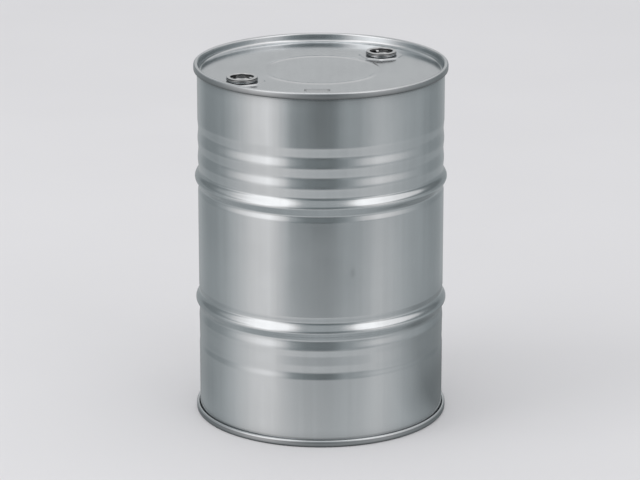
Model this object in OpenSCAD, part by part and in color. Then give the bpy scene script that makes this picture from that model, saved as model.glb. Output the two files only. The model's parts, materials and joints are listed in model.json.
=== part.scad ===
// Tight-head steel drum of about 200 litres: a swaged sheet body with two rolling hoops, two
// countersunk heads held by rolled triple seams, and two threaded closures in the top head.
// Millimetres. The origin is the middle of the base on the floor, with +Z up the drum's axis.

/* [Drum] */
// Overall height from chime to chime
drum_h = 840; // [700:5:1010]
// Inside diameter of the body
body_d = 571.5; // [470:0.5:690]
// Sheet thickness of the body
body_t = 1.2; // [0.9:0.1:1.5]
// Sheet thickness of the two heads
head_t = 1.2; // [0.9:0.1:1.5]

/* [Chimes] */
// Height of a rolled seam
seam_h = 16; // [14:0.5:20]
// Width of the flat crest that the drum stands on
seam_flat = 2; // [1:0.1:3]
// Gap between the sheets of a seam, which the compound fills
seam_gap = 0.4; // [0.2:0.05:0.5]
// Depth of a head below the crest of its chime
head_sink = 19; // [17:0.5:26]
// Radius of the corner between a head and its chuck wall
head_corner = 7; // [4:0.5:10]

/* [Hoops and grooves] */
// Distance between the two rolling hoops
hoop_gap = 295; // [240:5:340]
// Height of the middle of the hoops above the middle of the drum
hoop_rise = 3.5; // [0:0.5:10]
// How far a hoop stands out of the body
hoop_out = 7.2; // [4:0.2:9]
// Distance from a hoop's crest to the bottom of the groove beside it
hoop_half = 21; // [17:0.5:24]
// Depth of the shallow grooves
groove_in = 1.7; // [0.5:0.1:3]
// Distance between two neighbouring grooves
groove_pitch = 47.5; // [36:0.5:50]
// Number of grooves beyond each hoop's own pair, towards the chime
groove_count = 2; // [1:1:2]
// Length in which the last groove of each set runs out
groove_end = 14; // [12:1:20]

/* [Head pressings] */
// Distance from the body wall to the crest of the round bead in each head
bead_inset = 154; // [110:1:160]
// Width of the round bead
bead_w = 20; // [6:0.5:24]
// Height of the round bead
bead_h = 1.3; // [0.5:0.1:1.5]
// Size of the blank raised panel beside the front closure, along X and along Y
panel_size = [58, 18]; // [15:1:60]
// Distance from the body wall to the middle of the panel
panel_inset = 95; // [80:1:100]
// Direction of the panel from the drum's axis
panel_angle = 267.5; // [260:0.5:280]
// Height of the panel
panel_h = 1; // [0.4:0.1:1]

/* [Closures] */
// Distance from the body wall to the foot of the front closure's octagon
front_gap = 22.2; // [12:0.2:40]
// Direction of the front closure from the drum's axis
front_angle = 210.9; // [200:0.1:235]
// Distance from the body wall to the foot of the rear closure's octagon
rear_gap = 30; // [12:0.2:50]
// Direction of the rear closure from the drum's axis
rear_angle = 45.2; // [25:0.1:60]
// Diameter of the closure thread, taken as smooth at its pitch line
thread_d = 58.14; // [48:0.02:70]
// Radial running clearance of the plug in the flange
thread_clear = 0.06; // [0.02:0.01:0.1]
// Wall of the flange's neck
neck_t = 2.9; // [2:0.1:3.5]
// Clearance of the neck in the head's collar
neck_clear = 0.05; // [0.03:0.01:0.1]
// Height of the raised octagon around a closure
pad_h = 2.6; // [2:0.1:5]
// Width of the octagon's flat top outside the flange's closed bead
pad_land = 10.4; // [9:0.2:13]
// How far the octagon's side leans out
pad_lean = 3; // [1:0.5:4]
// Height of the sheet collar above the octagon
collar_h = 3.2; // [2:0.1:4]
// Height of the flange's closed bead over the collar's end
bead_top = 2.2; // [2:0.1:3]
// How far the bead reaches down outside the collar
bead_hook = 1.5; // [1:0.1:2.5]
// Radial width of the flange's bead outside the head's collar
bead_t = 3.2; // [2.8:0.1:4]
// Thickness of the gasket between flange and head
flange_gasket_t = 1; // [0.8:0.1:1.5]
// Thickness of the gasket under a plug's rim
plug_gasket_t = 1.2; // [1:0.1:2]

/* [Plugs] */
// How far a plug's rim stays inside the edge of the flange's bead
rim_inset = 1; // [0.5:0.1:2]
// Thickness of a plug's rim and of its floor
plug_t = 2; // [1.5:0.1:2.5]
// Wall of a plug's threaded skirt
skirt_t = 2.2; // [2:0.1:3.2]
// Length of a plug from the underside of its rim to its floor
plug_l = 12.5; // [11:0.5:16]
// Width, reach and height of a wrench lug
lug_size = [7, 9, 9]; // [5:0.5:12]
// Direction of the lugs in the front plug
front_lug_angle = 25; // [0:5:175]
// Direction of the lugs in the rear plug
rear_lug_angle = 115; // [0:5:175]

/* [Hidden] */
$fn = 96;
quarter_steps = 4;
turn_steps = 8;
flank_steps = 8;
groove_steps = 4;
skin_gap = 0.05;
steel = [0.66, 0.68, 0.69];
flange_steel = [0.60, 0.62, 0.63];
rubber = [0.12, 0.12, 0.12];
compound = [0.25, 0.27, 0.26];

body_r = body_d / 2;
// Distance between the middles of two neighbouring sheets in a seam
layer = head_t / 2 + seam_gap + body_t / 2;
// Middle radii of a seam's sheets: chuck wall, body wall, then the five rolled layers outwards
chuck_r = body_r - seam_gap - head_t / 2;
wall_r = body_r + body_t / 2;
head_up_r = wall_r + layer;
body_up_r = head_up_r + layer;
head_end_r = body_up_r + layer;
body_down_r = head_end_r + layer;
head_down_r = body_down_r + layer;
// Radii of the bends at the crest, at the foot of the seam and inside it
crest_bend = (head_down_r - chuck_r - seam_flat) / 2;
foot_bend = (head_down_r - head_up_r) / 2;
inner_bend = (head_end_r - head_up_r) / 2;
// Depths of those bends' centres below the crest
crest_depth = crest_bend + head_t / 2;
foot_depth = seam_h - foot_bend - head_t / 2;
inner_depth = crest_depth - crest_bend + 2 * layer + inner_bend;
foot_mid = (head_down_r + head_up_r) / 2;

low_hoop_z = drum_h / 2 + hoop_rise - hoop_gap / 2;
high_hoop_z = low_hoop_z + hoop_gap;

head_z = drum_h - head_sink;
plug_r = thread_d / 2 - thread_clear / 2;
bore_r = thread_d / 2 + thread_clear / 2;
neck_r = bore_r + neck_t;
neck_hole_r = neck_r + neck_clear;
collar_sheet_r = neck_hole_r + head_t;
hook_clear = 0.15;
hook_r = collar_sheet_r + hook_clear;
bead_r = hook_r + bead_t;
pad_af = 2 * (bead_r + pad_land);
rim_r = bead_r - rim_inset;
collar_top = pad_h + collar_h;
bead_z = collar_top + bead_top;
collar_fillet = 0.4;
collar_clear = 0.2;
bead_under_round = 1.2;
bead_over_round = 1.8;
bore_bevel = 1;
gasket_bottom = pad_h - head_t - flange_gasket_t;
flange_gasket_w = 7.5;
foot_clear = 0.3;
plug_gasket_w = 5;
plug_gasket_clear = 0.4;
rim_z = bead_z + plug_gasket_t;
plug_bottom = rim_z - plug_l;
edge_round = 0.9;
rim_bevel = 0.5;
neck_step = 0.5;
lead_bevel = 1.2;
cup_round = 2;
lug_bevel = 2;
// How far a lug runs into the wall and into the floor of the cup
lug_root = [0.8, 0.5];

// Radius over the corners of a closure's octagon at its foot
pad_corner_r = pad_af_at(0) / 2 / cos(22.5);
front_at = closure_at(front_gap + pad_corner_r, front_angle);
rear_at = closure_at(rear_gap + pad_corner_r, rear_angle);

// ---- sections ----

function closure_at(inset, angle) = (body_r - inset) * [cos(angle), sin(angle)];

function flip(path) = [for (i = [len(path) - 1:-1:0]) path[i]];

// The same path measured from the other end of the drum
function upside_down(path) = [for (p = path) [p[0], drum_h - p[1]]];

// Points of an arc about (r, z), from angle a to angle b
function arc(r, z, radius, a, b, steps) =
    [for (i = [0:steps]) [r, z] + radius * [cos(a + (b - a) * i / steps), sin(a + (b - a) * i / steps)]];

function across(a, b) = let (d = (b - a) / norm(b - a)) [-d[1], d[0]];

// The offset direction at point i of a path, longer at a bend so that the sheet keeps its thickness
function mitre(path, i) =
    let (
        last = len(path) - 1,
        n1 = across(path[max(i - 1, 0)], path[max(i, 1)]),
        n2 = across(path[min(i, last - 1)], path[min(i + 1, last)])
    )
    (n1 + n2) / (1 + n1 * n2);

// A sheet's section: a band of thickness t along the middle line
module sheet(path, t) {
    polygon(concat(
        [for (i = [0:len(path) - 1]) path[i] + mitre(path, i) * t / 2],
        [for (i = [len(path) - 1:-1:0]) path[i] - mitre(path, i) * t / 2]
    ));
}

// Smooth run from offset a to offset b over a stretch of height, without its first point
function ease(z1, a, z2, b, steps) =
    [for (i = [1:steps]) [z1 + (z2 - z1) * i / steps, a + (b - a) * (1 - cos(180 * i / steps)) / 2]];

// A hoop and its grooves, as [distance from the hoop's crest, offset of the wall]
function hoop_profile() = concat(
    [[-hoop_half - groove_end, 0]],
    ease(-hoop_half - groove_end, 0, -hoop_half, -groove_in, groove_steps),
    ease(-hoop_half, -groove_in, 0, hoop_out, flank_steps),
    ease(0, hoop_out, hoop_half, -groove_in, flank_steps),
    [for (k = [1:groove_count], p = groove_wave(hoop_half + (k - 1) * groove_pitch)) p],
    ease(last_groove(), -groove_in, last_groove() + groove_pitch / 2, 0, groove_steps)
);

function groove_wave(z) = concat(
    ease(z, -groove_in, z + groove_pitch / 2, 0, groove_steps),
    ease(z + groove_pitch / 2, 0, z + groove_pitch, -groove_in, groove_steps)
);

function last_groove() = hoop_half + groove_count * groove_pitch;

// The body wall between the seams, from the bottom up
function wall_path() = concat(
    [for (p = flip(hoop_profile())) [wall_r + p[1], low_hoop_z - p[0]]],
    [for (p = hoop_profile()) [wall_r + p[1], high_hoop_z + p[0]]]
);

// The body's flange inside the top seam: over the crest, down, round the foot and up
function body_seam() =
    let (bend = crest_bend - layer, top = drum_h - crest_depth, foot = drum_h - foot_depth)
    concat(
        arc(wall_r + bend, top, bend, 180, 90, quarter_steps),
        arc(body_down_r - bend, top, bend, 90, 0, quarter_steps),
        arc(foot_mid, foot, foot_bend - layer, 0, -180, turn_steps),
        [[body_up_r, drum_h - inner_depth - 0.6]]
    );

// The head's curl inside the top seam, one and a half turns round the body's flange
function head_seam() =
    let (top = drum_h - crest_depth, foot = drum_h - foot_depth, inner = drum_h - inner_depth)
    concat(
        arc(chuck_r + crest_bend, top, crest_bend, 180, 90, quarter_steps),
        arc(head_down_r - crest_bend, top, crest_bend, 90, 0, quarter_steps),
        arc(foot_mid, foot, foot_bend, 0, -180, turn_steps),
        arc(body_up_r, inner, inner_bend, 180, 0, turn_steps),
        [[head_end_r, foot + 1]]
    );

// The compound between the two sheets, from the chuck wall to the inside of the roll
function compound_path() =
    let (
        in = head_t / 2 + seam_gap / 2,
        bend = crest_bend - in,
        top = drum_h - crest_depth,
        foot = drum_h - foot_depth
    )
    concat(
        [[chuck_r + in, drum_h - seam_h + 2]],
        arc(chuck_r + crest_bend, top, bend, 180, 90, quarter_steps),
        arc(head_down_r - crest_bend, top, bend, 90, 0, quarter_steps),
        arc(foot_mid, foot, foot_bend - in, 0, -180, turn_steps),
        [[head_up_r + in, drum_h - inner_depth]]
    );

// The round bead pressed into a head, as points on the head's middle line
function head_bead(z) =
    let (r = body_r - bead_inset, steps = 8)
    [for (i = [0:steps])
        [r + bead_w * (i / steps - 0.5), z + bead_h * (1 - cos(360 * i / steps)) / 2]];

// A head's middle line from the axis out, up the chuck wall and through the seam
function head_path() =
    let (z = head_z - head_t / 2, bend = head_corner + head_t / 2)
    concat(
        [[0, z]],
        head_bead(z),
        arc(chuck_r - bend, z + bend, bend, -90, 0, quarter_steps + 2),
        head_seam()
    );

// ---- closures ----

// An octagon with leaning sides and its corners on the axes, from height z1 to z2
module octagon_block(af1, af2, z1, z2) {
    intersection_for (k = [0:3])
        rotate(22.5 + 45 * k)
            rotate([90, 0, 0])
                linear_extrude(height = 2 * af1, center = true)
                    polygon([[-af1 / 2, z1], [af1 / 2, z1], [af2 / 2, z2], [-af2 / 2, z2]]);
}

// Flats across the raised octagon's outside at a height above the head
function pad_af_at(z) = pad_af + 2 * pad_lean * (pad_h - z) / pad_h;

// Flats across the pocket under the sheet at that height
function pocket_af_at(z) = pad_af_at(z) - 2 * head_t * norm([pad_lean, pad_h]) / pad_h;

module pad_outside() {
    octagon_block(pad_af_at(-head_t), pad_af_at(pad_h), -head_t, pad_h);
}

module pad_inside() {
    low = -head_t - 1;
    high = pad_h - head_t;
    octagon_block(pocket_af_at(low), pocket_af_at(high), low, high);
}

// The neck of sheet that the flange's bead is closed over
module sheet_collar() {
    foot = pad_h - head_t / 2;
    rotate_extrude()
        polygon([
            [neck_hole_r, foot], [collar_sheet_r + collar_fillet, foot],
            [collar_sheet_r + collar_fillet, pad_h], [collar_sheet_r, pad_h + collar_fillet],
            [collar_sheet_r, collar_top], [neck_hole_r, collar_top]
        ]);
}

// The threaded neck with its top rolled out and down over the sheet collar
module flange_neck() {
    top = collar_top + collar_clear;
    low = bead_under_round;
    high = bead_over_round;
    rotate_extrude()
        polygon(concat(
            [[bore_r, -head_t], [neck_r, -head_t], [neck_r, top], [hook_r, top]],
            [[hook_r, top - bead_hook]],
            arc(bead_r - low, top - bead_hook + low, low, -90, 0, quarter_steps),
            arc(bead_r - high, bead_z - high, high, 0, 90, quarter_steps),
            [[bore_r + bore_bevel, bead_z], [bore_r, bead_z - bore_bevel]]
        ));
}

module flange() {
    color(flange_steel) {
        flange_neck();
        difference() {
            translate([0, 0, -head_t])
                linear_extrude(height = gasket_bottom + head_t)
                    circle(d = (pocket_af_at(gasket_bottom) - 2 * foot_clear) / cos(22.5), $fn = 8);
            translate([0, 0, -head_t - 1])
                cylinder(r = bore_r + neck_t / 2, h = gasket_bottom + head_t + 2);
        }
    }
}

module ring(r1, r2, z1, z2) {
    translate([0, 0, z1])
        difference() {
            cylinder(r = r2, h = z2 - z1);
            translate([0, 0, -1])
                cylinder(r = r1, h = z2 - z1 + 2);
        }
}

module flange_gasket() {
    color(rubber)
        ring(neck_hole_r, neck_hole_r + flange_gasket_w, gasket_bottom, pad_h - head_t);
}

module plug_gasket() {
    inner = plug_r + plug_gasket_clear;
    color(rubber)
        ring(inner, inner + plug_gasket_w, bead_z, rim_z);
}

// A pressed plug: rim, threaded skirt and floor in one sheet, with two wrench lugs in its cup
module plug(lug_angle) {
    cup_r = plug_r - skirt_t;
    top = rim_z + plug_t;
    color(steel) {
        rotate_extrude()
            polygon(concat(
                [[0, plug_bottom], [plug_r - lead_bevel, plug_bottom]],
                [[plug_r, plug_bottom + lead_bevel], [plug_r, bead_z - neck_step]],
                [[plug_r - neck_step, bead_z], [plug_r - neck_step, rim_z]],
                [[rim_r - rim_bevel, rim_z], [rim_r, rim_z + rim_bevel]],
                arc(rim_r - edge_round, top - edge_round, edge_round, 0, 90, quarter_steps),
                arc(cup_r + edge_round, top - edge_round, edge_round, 90, 180, quarter_steps),
                arc(cup_r - cup_round, plug_bottom + plug_t + cup_round, cup_round, 0, -90, quarter_steps),
                [[0, plug_bottom + plug_t]]
            ));
        for (side = [0, 180])
            rotate(lug_angle + side)
                wrench_lug(cup_r);
    }
}

// A lug that stands on the cup's floor and runs into its wall, with a sloped inner top edge
module wrench_lug(cup_r) {
    width = lug_size[0];
    inner = cup_r - lug_size[1];
    outer = cup_r + lug_root[0];
    foot = plug_bottom + plug_t - lug_root[1];
    top = foot + lug_size[2];
    rotate([90, 0, 0])
        linear_extrude(height = width, center = true)
            polygon([
                [inner, foot], [outer, foot], [outer, top], [inner + lug_bevel, top],
                [inner, top - lug_bevel]
            ]);
}

module at_closure(at) {
    translate([at[0], at[1], head_z])
        children();
}

// ---- drum ----

module body_shell() {
    color(steel)
        rotate_extrude()
            sheet(concat(flip(upside_down(body_seam())), wall_path(), body_seam()), body_t);
}

// The blank raised panel, drawn bigger by grow all round
module panel_block(grow, z1, z2) {
    r = body_r - panel_inset;
    translate([r * cos(panel_angle), r * sin(panel_angle), head_z + z1])
        linear_extrude(height = z2 - z1)
            square(panel_size + 2 * [grow, grow], center = true);
}

module top_head() {
    color(steel)
        difference() {
            union() {
                rotate_extrude()
                    sheet(head_path(), head_t);
                for (at = [front_at, rear_at])
                    at_closure(at) {
                        pad_outside();
                        sheet_collar();
                    }
                panel_block(0, -head_t / 2, panel_h);
            }
            for (at = [front_at, rear_at])
                at_closure(at) {
                    pad_inside();
                    cylinder(r = neck_hole_r, h = pad_h + 1);
                }
            panel_block(-1, -head_t - 1, panel_h - head_t);
        }
}

module bottom_head() {
    color(steel)
        rotate_extrude()
            sheet(upside_down(head_path()), head_t);
}

module top_seam_compound() {
    color(compound)
        rotate_extrude()
            sheet(compound_path(), seam_gap - 2 * skin_gap);
}

module bottom_seam_compound() {
    color(compound)
        rotate_extrude()
            sheet(upside_down(compound_path()), seam_gap - 2 * skin_gap);
}

body_shell();
top_head();
bottom_head();
top_seam_compound();
bottom_seam_compound();
at_closure(front_at) flange();  // front_flange
at_closure(front_at) flange_gasket();  // front_flange_gasket
at_closure(front_at) plug(front_lug_angle);  // front_plug
at_closure(front_at) plug_gasket();  // front_plug_gasket
at_closure(rear_at) flange();  // rear_flange
at_closure(rear_at) flange_gasket();  // rear_flange_gasket
at_closure(rear_at) plug(rear_lug_angle);  // rear_plug
at_closure(rear_at) plug_gasket();  // rear_plug_gasket
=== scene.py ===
"""Looks of the tight-head steel drum: smooth sheet-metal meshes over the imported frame, bare satin
galvanised steel, a pale studio floor and the camera. Lengths are metres; MM turns them from mm."""

import json
import math

import bmesh
import bpy
import numpy as np
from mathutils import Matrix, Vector
from mathutils.geometry import delaunay_2d_cdt

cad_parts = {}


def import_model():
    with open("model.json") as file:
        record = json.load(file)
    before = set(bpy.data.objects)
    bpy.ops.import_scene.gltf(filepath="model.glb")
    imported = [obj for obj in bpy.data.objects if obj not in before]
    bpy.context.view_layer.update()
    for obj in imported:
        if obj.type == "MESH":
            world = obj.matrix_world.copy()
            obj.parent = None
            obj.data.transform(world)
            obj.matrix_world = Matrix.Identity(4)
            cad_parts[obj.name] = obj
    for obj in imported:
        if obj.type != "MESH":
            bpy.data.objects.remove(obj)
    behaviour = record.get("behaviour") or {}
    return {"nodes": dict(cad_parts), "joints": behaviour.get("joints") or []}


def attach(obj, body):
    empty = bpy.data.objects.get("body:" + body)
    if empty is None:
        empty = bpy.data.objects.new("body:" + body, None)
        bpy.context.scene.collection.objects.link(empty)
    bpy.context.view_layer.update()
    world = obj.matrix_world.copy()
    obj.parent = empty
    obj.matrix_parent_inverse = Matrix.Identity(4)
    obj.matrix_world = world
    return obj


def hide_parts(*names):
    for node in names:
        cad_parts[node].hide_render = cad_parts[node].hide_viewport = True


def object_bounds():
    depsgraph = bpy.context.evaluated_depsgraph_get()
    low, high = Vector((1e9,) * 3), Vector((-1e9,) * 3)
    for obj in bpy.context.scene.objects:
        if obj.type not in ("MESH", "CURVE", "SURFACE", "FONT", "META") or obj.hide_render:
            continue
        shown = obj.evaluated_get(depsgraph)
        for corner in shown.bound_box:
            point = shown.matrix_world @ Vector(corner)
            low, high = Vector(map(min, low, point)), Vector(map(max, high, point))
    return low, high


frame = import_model()
CAD_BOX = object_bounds()
MM = 0.001

# ---- sizes that the drum's own construction sets ----

DRUM_H = CAD_BOX[1][2]
BODY_R = 285.75 * MM
SHEET = 1.2 * MM
SEAM_H = 16 * MM
SEAM_FLAT = 2 * MM
SEAM_GAP = 0.4 * MM
HEAD_SINK = 19 * MM
HEAD_CORNER = 7 * MM
HOOP_GAP = 295 * MM
HOOP_RISE = 3.5 * MM
HOOP_OUT = 7.2 * MM
HOOP_HALF = 21 * MM
GROOVE_IN = 1.7 * MM
GROOVE_PITCH = 47.5 * MM
GROOVE_COUNT = 2
GROOVE_END = 14 * MM
BEAD_R = BODY_R - 154 * MM
BEAD_W = 20 * MM
BEAD_H = 1.3 * MM
PANEL_SIZE = (58 * MM, 18 * MM)
PANEL_R = BODY_R - 95 * MM
PANEL_ANGLE = math.radians(267.5)
PANEL_AT = (PANEL_R * math.cos(PANEL_ANGLE), PANEL_R * math.sin(PANEL_ANGLE))
PANEL_H = 1 * MM
PANEL_CORNER = 3 * MM
PANEL_EDGE = 1.6 * MM

# A closure: heights above the head's plate, radii, and widths across flats (AF)
PAD_H = 2.6 * MM
PAD_AF = 94 * MM
PAD_LEAN = 3 * MM
SHEET_COLLAR_TOP = 5.8 * MM
BEAD_UNDER = 6 * MM
BEAD_HOOK = 1.5 * MM
COLLAR_H = 8 * MM
THREAD_R = 29.07 * MM
THREAD_DEPTH = 0.74 * MM
THREAD_PITCH = 25.4 / 11 * MM
THREAD_CLEAR = 0.06 * MM
NECK_R = 32.0 * MM
COLLAR_SHEET_R = 33.25 * MM
BEAD_OUT_R = 36.6 * MM
RIM_R = 35.6 * MM
RIM_Z = 9.2 * MM
PLUG_TOP = 11.2 * MM
PLUG_BOTTOM = -3.3 * MM
CUP_R = 26.84 * MM
PLUG_T = 2 * MM
CUP_FLOOR = PLUG_BOTTOM + PLUG_T
BASE_AF = 93.4 * MM
BASE_CORNER = 4 * MM
BASE_TOP = 0.4 * MM
BASE_BEVEL = 0.4 * MM
FLANGE_BOTTOM = -1.2 * MM

# The middles of the sheets in the top seam, from the inside out: the head's chuck wall, the
# body's wall, the head and the body going up, the head's end, the body and the head coming down
LAYER = SHEET + SEAM_GAP
CHUCK_R = BODY_R - SEAM_GAP - SHEET / 2
WALL_R = BODY_R + SHEET / 2
HEAD_UP_R, BODY_UP_R, HEAD_END_R, BODY_DOWN_R, HEAD_DOWN_R = (
    WALL_R + k * LAYER for k in range(1, 6)
)
CREST_BEND = (HEAD_DOWN_R - CHUCK_R - SEAM_FLAT) / 2
FOOT_BEND = (HEAD_DOWN_R - HEAD_UP_R) / 2
INNER_BEND = (HEAD_END_R - HEAD_UP_R) / 2
CREST_DEPTH = CREST_BEND + SHEET / 2
FOOT_DEPTH = SEAM_H - FOOT_BEND - SHEET / 2
INNER_DEPTH = CREST_DEPTH - CREST_BEND + 2 * LAYER + INNER_BEND
FOOT_MID = (HEAD_DOWN_R + HEAD_UP_R) / 2
HEAD_Z = DRUM_H - HEAD_SINK

# ---- meshes ----

MERGE_DIST = 0.002 * MM


def mesh_piece(name, verts, faces, material, smooth_angle=40):
    """A new object from vertices and faces, smooth but for edges sharper than smooth_angle."""
    mesh = bpy.data.meshes.new(name)
    mesh.from_pydata([tuple(v) for v in verts], [], [tuple(f) for f in faces])
    mesh.validate()
    mesh.materials.append(material)
    piece = bpy.data.objects.new(name, mesh)
    bpy.context.scene.collection.objects.link(piece)
    work = bmesh.new()
    work.from_mesh(mesh)
    bmesh.ops.remove_doubles(work, verts=work.verts, dist=MERGE_DIST)
    bmesh.ops.recalc_face_normals(work, faces=work.faces)
    for face in work.faces:
        face.smooth = True
    limit = math.radians(smooth_angle)
    for edge in work.edges:
        edge.smooth = len(edge.link_faces) != 2 or edge.calc_face_angle(0) < limit
    work.to_mesh(mesh)
    work.free()
    return piece


def thicken(piece):
    """Gives a sheet's middle surface its thickness, half to each side."""
    solid = piece.modifiers.new("sheet", "SOLIDIFY")
    solid.thickness = SHEET
    solid.offset = 0
    solid.use_even_offset = True
    solid.use_quality_normals = True


def arc(r, z, radius, start, end, steps):
    """Points of an arc about (r, z), between two angles in degrees."""
    turn = np.radians(np.linspace(start, end, steps + 1))
    return [(r + radius * math.cos(t), z + radius * math.sin(t)) for t in turn]


def neighbours(count, wrap):
    """Each index with the next, and the last with the first where they go all the way round."""
    return [(i, (i + 1) % count) for i in range(count if wrap else count - 1)]


def quads(rows, columns, wrap_rows, wrap_columns):
    """The faces of a grid of points that are listed row by row."""
    return [
        (i * columns + j, i * columns + j2, i2 * columns + j2, i2 * columns + j)
        for i, i2 in neighbours(rows, wrap_rows)
        for j, j2 in neighbours(columns, wrap_columns)
    ]


def lathe(path, angles, closed=False):
    """Vertices and quads of a path of (r, z) turned about the Z axis at the given angles."""
    path = np.array(path)
    verts = np.empty((len(angles), len(path), 3))
    verts[:, :, 0] = np.cos(angles)[:, None] * path[:, 0]
    verts[:, :, 1] = np.sin(angles)[:, None] * path[:, 0]
    verts[:, :, 2] = path[:, 1]
    return verts.reshape(-1, 3), quads(len(angles), len(path), True, closed)


def even_angles(count):
    """Angles all round, the first along X."""
    return np.linspace(0, 2 * math.pi, count, endpoint=False)


def joined(*parts):
    """Several (vertices, faces) as one."""
    verts, faces, base = [], [], 0
    for some_verts, some_faces in parts:
        verts.append(np.asarray(some_verts))
        faces += [tuple(base + k for k in face) for face in some_faces]
        base += len(some_verts)
    return np.concatenate(verts), faces


# ---- the body ----


def ease(z1, a, z2, b, steps):
    """A smooth run of the wall's offset from a to b, without its first point."""
    return [
        (z1 + (z2 - z1) * i / steps, a + (b - a) * (1 - math.cos(math.pi * i / steps)) / 2)
        for i in range(1, steps + 1)
    ]


def straight_run(z1, a, z2, b, steps=8, bend=0.25):
    """A run of the wall's offset from a to b that is straight but for rounded ends."""
    run = []
    for t in (i / steps for i in range(1, steps + 1)):
        share = t - bend / 2
        if t < bend:
            share = t * t / (2 * bend)
        elif t > 1 - bend:
            share = 1 - bend - (1 - t) ** 2 / (2 * bend)
        run.append((z1 + (z2 - z1) * t, a + (b - a) * share / (1 - bend)))
    return run


# The grooves beside a hoop, as (distance from its crest, offset of the wall) where the wall
# turns. Below the low hoop only the first is as deep as the others.
GROOVES = [
    (HOOP_HALF + k * GROOVE_PITCH / 2, -GROOVE_IN if k % 2 == 0 else 0)
    for k in range(1, 2 * GROOVE_COUNT + 2)
]
FAINT_GROOVES = GROOVES[:1] + [
    (d * MM, off * MM) for d, off in ((60, -0.5), (80, -0.5), (98, -1.0), (115, 0))
]
FLANK_STEPS = 10
GROOVE_STEPS = 5


def hoop_profile(grooves):
    """A hoop and its grooves, as (distance from the hoop's crest, offset of the wall)."""
    start = -HOOP_HALF - GROOVE_END
    path = [(start, 0)]
    path += ease(start, 0, -HOOP_HALF, -GROOVE_IN, GROOVE_STEPS)
    path += ease(-HOOP_HALF, -GROOVE_IN, 0, HOOP_OUT, FLANK_STEPS)
    path += ease(0, HOOP_OUT, HOOP_HALF, -GROOVE_IN, FLANK_STEPS)
    for at, off in grooves:
        path += straight_run(*path[-1], at, off)
    return path


BODY_HOOK_END = 0.6 * MM


def body_seam():
    """The body's end, from its wall up through the top seam, inside the head's curl."""
    bend = CREST_BEND - LAYER
    top, foot = DRUM_H - CREST_DEPTH, DRUM_H - FOOT_DEPTH
    return (
        arc(WALL_R + bend, top, bend, 180, 90, 3)
        + arc(BODY_DOWN_R - bend, top, bend, 90, 0, 3)
        + arc(FOOT_MID, foot, FOOT_BEND - LAYER, 0, -180, 6)
        + [(BODY_UP_R, DRUM_H - INNER_DEPTH - BODY_HOOK_END)]
    )


WALL_ROW_STEP = 50 * MM
WALL_ROW_EDGE = 1 * MM


def flat_wall(z1, z2):
    """Rows up a straight part of the wall, close to its ends, so its shading stays upright."""
    low, high = z1 + WALL_ROW_EDGE, z2 - WALL_ROW_EDGE
    rows = 2 + int((high - low) / WALL_ROW_STEP)
    return [(WALL_R, z) for z in np.linspace(low, high, rows)]


def body_path():
    """The body's whole profile, from the bottom seam to the top seam."""
    low_hoop = DRUM_H / 2 + HOOP_RISE - HOOP_GAP / 2
    high_hoop = low_hoop + HOOP_GAP
    crest = DRUM_H - CREST_DEPTH
    below = [(WALL_R + off, low_hoop - d) for d, off in reversed(hoop_profile(FAINT_GROOVES))]
    above = [(WALL_R + off, high_hoop + d) for d, off in hoop_profile(GROOVES)]
    wall = flat_wall(DRUM_H - crest, below[0][1]) + below
    wall += flat_wall(below[-1][1], above[0][1]) + above
    wall += flat_wall(above[-1][1], crest)
    bottom_seam = [(r, DRUM_H - z) for r, z in reversed(body_seam())]
    return bottom_seam + wall + body_seam()


BODY_COLUMNS = 260
WELD_COLUMNS = 9
WELD_ANGLE = math.radians(90)
WELD_HALF = 2.6 * MM
WELD_H = 0.22 * MM


def body_angles():
    """Even columns, with closer ones across the weld at the back."""
    columns = set(even_angles(BODY_COLUMNS))
    for offset in np.linspace(-WELD_HALF, WELD_HALF, WELD_COLUMNS):
        columns.add(WELD_ANGLE + offset / BODY_R)
    return np.array(sorted(columns))


# The rolled wall's soft flats, as (mm in or out, how many round the drum, phase, lean with height)
WALL_WAVES = [
    (0.10, 7, 0.6, 0), (0.07, 11, 2.1, 0.9), (0.028, 29, 1.0, 1.3), (0.018, 43, 0.3, -2.0),
]
# They fade out towards the seams
WAVES_FROM = SEAM_H + 2 * MM
WAVES_FADE = 30 * MM


def waves(angle, z):
    """How far the rolled wall strays from a true circle, in metres."""
    return MM * sum(
        size * np.sin(count * angle + phase + lean * z) for size, count, phase, lean in WALL_WAVES
    )


def body_shell(material):
    """The rolled and welded body with its hoops, grooves and curled ends."""
    verts, faces = lathe(body_path(), body_angles())
    r = np.hypot(verts[:, 0], verts[:, 1])
    angle = np.arctan2(verts[:, 1], verts[:, 0])
    z = verts[:, 2]
    ends = np.clip((np.minimum(z, DRUM_H - z) - WAVES_FROM) / WAVES_FADE, 0, 1)
    across = np.abs((angle - WELD_ANGLE) * BODY_R) / WELD_HALF
    weld = WELD_H * np.sqrt(np.maximum(np.cos(np.minimum(across, 1) * math.pi / 2), 0))
    grow = 1 + (waves(angle, z) + weld) * ends / r
    verts[:, 0] *= grow
    verts[:, 1] *= grow
    piece = mesh_piece("body_sheet", verts, faces, material)
    thicken(piece)
    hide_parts("body_shell")
    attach(piece, "drum")


# ---- the heads ----

HEAD_HOOK_END = 1 * MM


def head_seam():
    """The head's edge, curled over and under the body's end in the top seam."""
    top, foot = DRUM_H - CREST_DEPTH, DRUM_H - FOOT_DEPTH
    return (
        arc(CHUCK_R + CREST_BEND, top, CREST_BEND, 180, 90, 7)
        + arc(HEAD_DOWN_R - CREST_BEND, top, CREST_BEND, 90, 0, 7)
        + arc(FOOT_MID, foot, FOOT_BEND, 0, -180, 12)
        + arc(BODY_UP_R, DRUM_H - INNER_DEPTH, INNER_BEND, 180, 0, 6)
        + [(HEAD_END_R, foot + HEAD_HOOK_END)]
    )


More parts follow.
